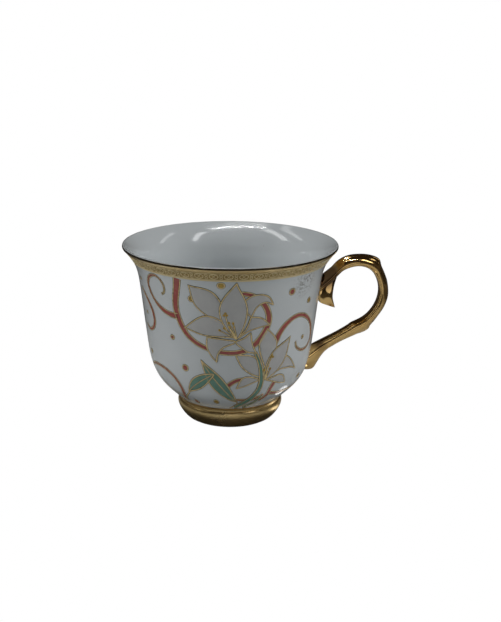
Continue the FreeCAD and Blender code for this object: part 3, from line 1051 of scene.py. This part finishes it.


# Painted light and shade, seen only in the gloss: the table is coloured pale as a pool of light in front of
# the cup, dark beyond, and dark as a painted shadow where the foot shades it
pool_middle = (0.0, -0.06, 0.0)
pool_reach = 0.11
pool_end = 0.20
shadow_reach = 0.024
shadow_end = 0.036
paper = bpy.data.materials.new("white_paper")
paper.use_nodes = True
tree = paper.node_tree
tree.nodes.clear()
past_pool = ranged(tree, away_from(tree, pool_middle), pool_reach, pool_end)
past_foot = ranged(tree, away_from(tree, (0.0, 0.0, 0.0)), shadow_reach, shadow_end)
pool = mixed(tree, past_pool, (0.80, 0.80, 0.78), (0.10, 0.09, 0.08))
mirrored_table = mixed(tree, past_foot, (0.12, 0.11, 0.10), pool)
ray = tree.nodes.new("ShaderNodeLightPath").outputs
lit = either(tree, ray["Is Glossy Ray"], plain(tree, "ShaderNodeBsdfDiffuse", (0.52, 0.53, 0.53)),
             plain(tree, "ShaderNodeBsdfDiffuse", mirrored_table))
seen = either(tree, ray["Is Camera Ray"], lit, plain(tree, "ShaderNodeEmission", WHITE))
from_below = tree.nodes.new("ShaderNodeNewGeometry").outputs["Backfacing"]
both_sides = either(tree, from_below, seen, tree.nodes.new("ShaderNodeBsdfTransparent"))
tree.links.new(both_sides.outputs["Shader"], tree.nodes.new("ShaderNodeOutputMaterial").inputs["Surface"])
table.materials.append(paper)

room_light = 0.17
world = bpy.data.worlds.new("surround")
bpy.context.scene.world = world
world.use_nodes = True
tree = world.node_tree
tree.nodes.clear()
towards = tree.nodes.new("ShaderNodeTexCoord").outputs["Generated"]
split = tree.nodes.new("ShaderNodeSeparateXYZ")
tree.links.new(towards, split.inputs["Vector"])
things = ranged(tree, noise(tree, towards, 2.2, 2.0), 0.45, 0.62)
walls = mixed(tree, things, (0.020, 0.016, 0.012), (0.10, 0.088, 0.075))
room = mixed(tree, ranged(tree, split.outputs["Z"], 0.0, 0.5), walls, (0.018, 0.013, 0.009))
soft = plain(tree, "ShaderNodeBackground", (0.93, 0.98, 1.0))
soft.inputs["Strength"].default_value = room_light
ray = tree.nodes.new("ShaderNodeLightPath").outputs
lit = either(tree, ray["Is Glossy Ray"], soft, plain(tree, "ShaderNodeBackground", room))
seen = either(tree, ray["Is Camera Ray"], lit, plain(tree, "ShaderNodeBackground", WHITE))
tree.links.new(seen.outputs["Shader"], tree.nodes.new("ShaderNodeOutputWorld").inputs["Surface"])


def soft_light(name, place, aim, size, watts, wide=0.0):
    """A soft panel that lights the cup: round, or a wide by size rectangle."""
    light = bpy.data.lights.new(name, "AREA")
    light.shape = "RECTANGLE" if wide else "DISK"
    light.size = wide or size
    light.size_y = size
    light.energy = watts
    lamp = put(name, light)
    lamp.location = place
    lamp.rotation_euler = (Vector(aim) - Vector(place)).to_track_quat("-Z", "Y").to_euler()
    lamp.visible_glossy = False
    return lamp


def pane(name, place, aim, size, watts, wide=0.0):
    """A soft panel that is only seen in the gloss."""
    lamp = soft_light(name, place, aim, size, watts, wide)
    lamp.visible_glossy = True
    lamp.visible_diffuse = False
    return lamp


lip_middle = (0.0, 0.0, 0.075)


def round_cup(azimuth, elevation, reach):
    """A place round the cup's lip. Azimuth is degrees from -Y towards +X."""
    a, e = math.radians(azimuth), math.radians(elevation)
    out = reach * math.cos(e)
    return (out * math.sin(a), -out * math.cos(a), lip_middle[2] + reach * math.sin(e))


cup_middle = (0.0, 0.0, 0.05)
soft_light("overhead", (0.0, 0.0, 1.0), (0.0, 0.0, 0.04), 0.6, 1.0)
soft_light("left_panel", (-0.95, -0.10, 0.45), cup_middle, 0.5, 2.6)
soft_light("right_panel", (0.95, -0.25, 0.45), cup_middle, 0.5, 3.1)
pane("right_pane", round_cup(44, 43, 1.2), lip_middle, 0.70, 1.6, wide=0.16)
pane("left_pane", round_cup(-88, 48, 1.2), lip_middle, 0.75, 1.8, wide=0.20)
pane("front_pane", round_cup(-7, 27, 1.3), lip_middle, 0.30, 0.10, wide=0.9)
pane("ceiling_pane", (-0.07, -0.09, 0.95), lip_middle, 0.16, 0.30, wide=0.66)
pane("right_side_pane", round_cup(97, 37, 1.2), lip_middle, 0.6, 0.5, wide=0.14)
pane("left_side_pane", round_cup(-119, 46, 1.2), lip_middle, 0.6, 0.5, wide=0.14)
pane("low_pane", round_cup(0, 2.5, 1.3), lip_middle, 0.20, 0.50, wide=0.8)
glint = pane("floor_glint", (0.0305, -0.010, 0.0006), (0.0305, -0.010, 1.0), 0.012, 0.0007)
glint.visible_camera = False

# The strip of small lamps overhead, which draws a dotted arc inside the lip
strip_height = 0.925
strip_right = np.array([0.205, -0.170])
strip_left = np.array([-0.350, 0.050])
strip_bow = 0.045
strip_beads = 30
bead_watts = 0.22
bead_radius = 0.005
for k in range(strip_beads):
    t = k / (strip_beads - 1)
    x, y = strip_right + (strip_left - strip_right) * t
    bead = bpy.data.lights.new("strip_bead_%02d" % k, "POINT")
    bead.energy = bead_watts
    bead.shadow_soft_size = bead_radius
    lamp = put(bead.name, bead)
    lamp.location = (x, y - strip_bow * math.sin(math.pi * t), strip_height)
    lamp.visible_diffuse = False

camera_reach = 0.4087
camera_height = 0.1683
camera_azimuth = -7.0
camera_turn = -1.21
camera_dip = 16.65
camera_roll = 0.58
camera_data = bpy.data.cameras.new("camera")
camera_data.sensor_width = 36.0
camera_data.lens = 57.88
camera = put("camera", camera_data)
from_front = math.radians(camera_azimuth)
stand = (camera_reach * math.sin(from_front), -camera_reach * math.cos(from_front), camera_height)
camera.matrix_world = (
    Matrix.Translation(stand)
    @ Matrix.Rotation(math.radians(camera_azimuth + camera_turn), 4, "Z")
    @ Matrix.Rotation(math.radians(90 - camera_dip), 4, "X")
    @ Matrix.Rotation(math.radians(camera_roll), 4, "Z"))
bpy.context.scene.camera = camera
bpy.context.scene.view_settings.view_transform = "Standard"
